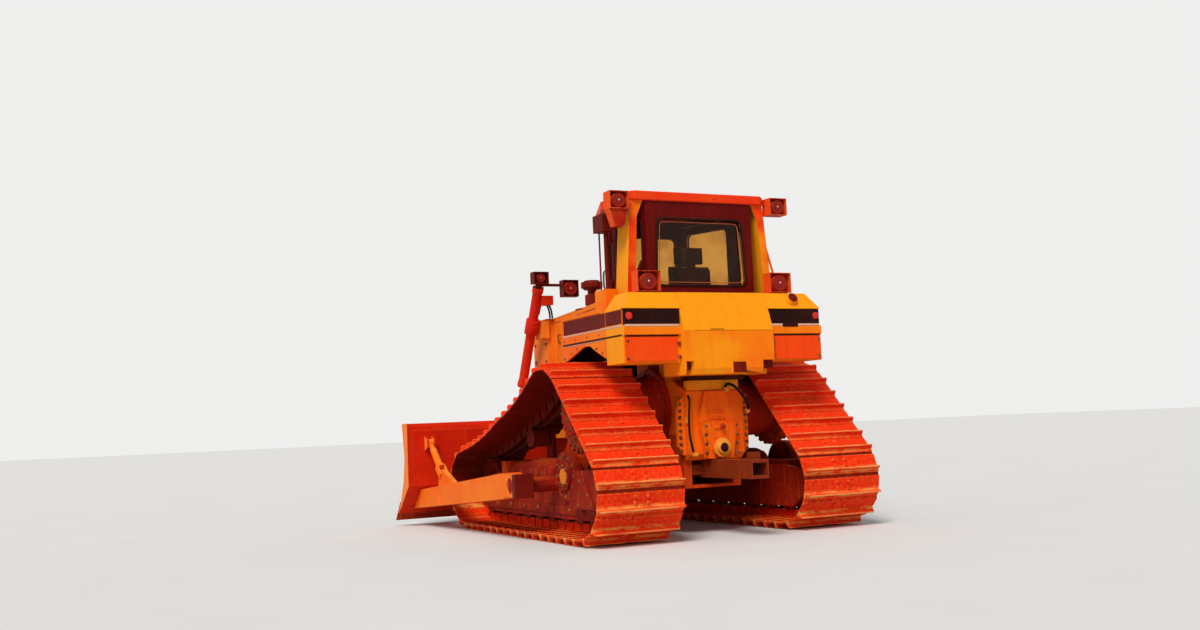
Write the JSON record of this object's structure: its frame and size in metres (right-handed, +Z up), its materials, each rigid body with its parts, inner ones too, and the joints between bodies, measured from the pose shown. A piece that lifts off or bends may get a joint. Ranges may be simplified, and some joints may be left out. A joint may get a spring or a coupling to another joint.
{
  "type": "crawler bulldozer",
  "caption": "Tracked bulldozer with raised drive sprockets, wide track shoes, straight front blade on outside push arms, enclosed cab and rear drawbar.",
  "frame": {"origin": "on the ground, under the middle of the machine's overall length and width", "axes": "+X forward towards the blade, +Y to the machine's left, +Z up"},
  "size_m": [5.25, 4.06, 3.48],
  "materials": {
    "paint": "worn construction amber paint, dusty",
    "dark_paint": "dark maroon-black paint, satin",
    "track_steel": "rusty steel with dried mud",
    "bright_edge": "worn steel with bare metal edges",
    "drive_iron": "painted casting with rust",
    "chrome_rod": "hard chrome, polished",
    "glass": "tinted window glass",
    "trim": "black vinyl and plastic",
    "engine_iron": "engine paint, oily",
    "exhaust": "heat-stained steel",
    "lamp": "black lamp housing"
  },
  "bodies": {
    "machine": {"track_left": "track_steel", "track_right": "track_steel", "sprocket_left": "drive_iron", "sprocket_right": "drive_iron", "final_drive_left": "drive_iron", "final_drive_right": "drive_iron", "idlers_left": "track_steel", "idlers_right": "track_steel", "track_rollers_left": "track_steel", "track_rollers_right": "track_steel", "track_frame_left": "drive_iron", "track_frame_right": "drive_iron", "main_frame": "drive_iron", "rear_case": "paint", "case_cover": "paint", "drawbar": "drive_iron", "fuel_tank": "paint", "fender_left": "paint", "fender_right": "paint", "cab_shell": "paint", "cab_glass": "glass", "cab_roof": "paint", "seat": "trim", "console": "dark_paint", "rollover_posts": "paint", "engine_block": "engine_iron", "hood": "paint", "firewall": "dark_paint", "radiator_guard": "paint", "exhaust_stack": "exhaust", "air_precleaner": "paint", "lift_bracket_left": "paint", "lift_bracket_right": "paint", "roof_lamps": "lamp", "rear_lamps": "lamp", "mirror_left": "dark_paint"},
    "blade": {"blade": "paint", "cutting_edge": "bright_edge", "push_arm_left": "paint", "push_arm_right": "paint", "blade_brace_left": "paint", "blade_brace_right": "paint"},
    "barrel_left": {"lift_barrel_left": "paint", "lift_lamp_left": "lamp"},
    "barrel_right": {"lift_barrel_right": "paint", "lift_lamp_right": "lamp"},
    "rod_left": {"lift_rod_left": "chrome_rod"},
    "rod_right": {"lift_rod_right": "chrome_rod"},
    "cab_door_left": {"cab_door_left": "paint", "door_glass_left": "glass"},
    "cab_door_right": {"cab_door_right": "paint", "door_glass_right": "glass"},
    "engine_door_left": {"engine_door_left": "paint"},
    "engine_door_right": {"engine_door_right": "paint"},
    "grille_door": {"grille_door": "dark_paint"}
  },
  "joints": [
    {"name": "blade_lift", "type": "hinge", "parent": "machine", "child": "blade", "pos_m": [-0.845, 0, 0.565], "axis": [0, -1, 0], "range_deg": [-9, 17.3]},
    {"name": "barrel_left_swing", "type": "hinge", "parent": "machine", "child": "barrel_left", "pos_m": [1.105, 0.72, 2.36], "axis": [0, -1, 0], "range_deg": [-6, 11.4]},
    {"name": "rod_left_stroke", "type": "slide", "parent": "barrel_left", "child": "rod_left", "axis": [0.4697, 0, -0.8828], "range_m": [-0.79, 0.41]},
    {"name": "cab_door_left_swing", "type": "hinge", "parent": "machine", "child": "cab_door_left", "pos_m": [-1.19047, 0.76565, 2.4], "axis": [0, 0, 1], "range_deg": [0, 100]},
    {"name": "engine_door_left_swing", "type": "hinge", "parent": "machine", "child": "engine_door_left", "pos_m": [-0.431, 0.486, 1.7], "axis": [0, 0, 1], "range_deg": [0, 100]},
    {"name": "barrel_right_swing", "type": "hinge", "parent": "machine", "child": "barrel_right", "pos_m": [1.105, -0.72, 2.36], "axis": [0, -1, 0], "range_deg": [-6, 11.4]},
    {"name": "rod_right_stroke", "type": "slide", "parent": "barrel_right", "child": "rod_right", "axis": [0.4697, 0, -0.8828], "range_m": [-0.79, 0.41]},
    {"name": "cab_door_right_swing", "type": "hinge", "parent": "machine", "child": "cab_door_right", "pos_m": [-1.19047, -0.76565, 2.4], "axis": [0, 0, -1], "range_deg": [0, 100]},
    {"name": "engine_door_right_swing", "type": "hinge", "parent": "machine", "child": "engine_door_right", "pos_m": [-0.431, -0.486, 1.7], "axis": [0, 0, -1], "range_deg": [0, 100]},
    {"name": "grille_door_swing", "type": "hinge", "parent": "machine", "child": "grille_door", "pos_m": [1.511, 0.484, 1.5], "axis": [0, 0, -1], "range_deg": [-100, 0]}
  ],
  "couplings": [
    {"joint": "barrel_left_swing", "follows": "blade_lift", "ratio": 0.65},
    {"joint": "rod_left_stroke", "follows": "blade_lift", "m_per_rad": -2.6},
    {"joint": "barrel_right_swing", "follows": "blade_lift", "ratio": 0.65},
    {"joint": "rod_right_stroke", "follows": "blade_lift", "m_per_rad": -2.6}
  ]
}
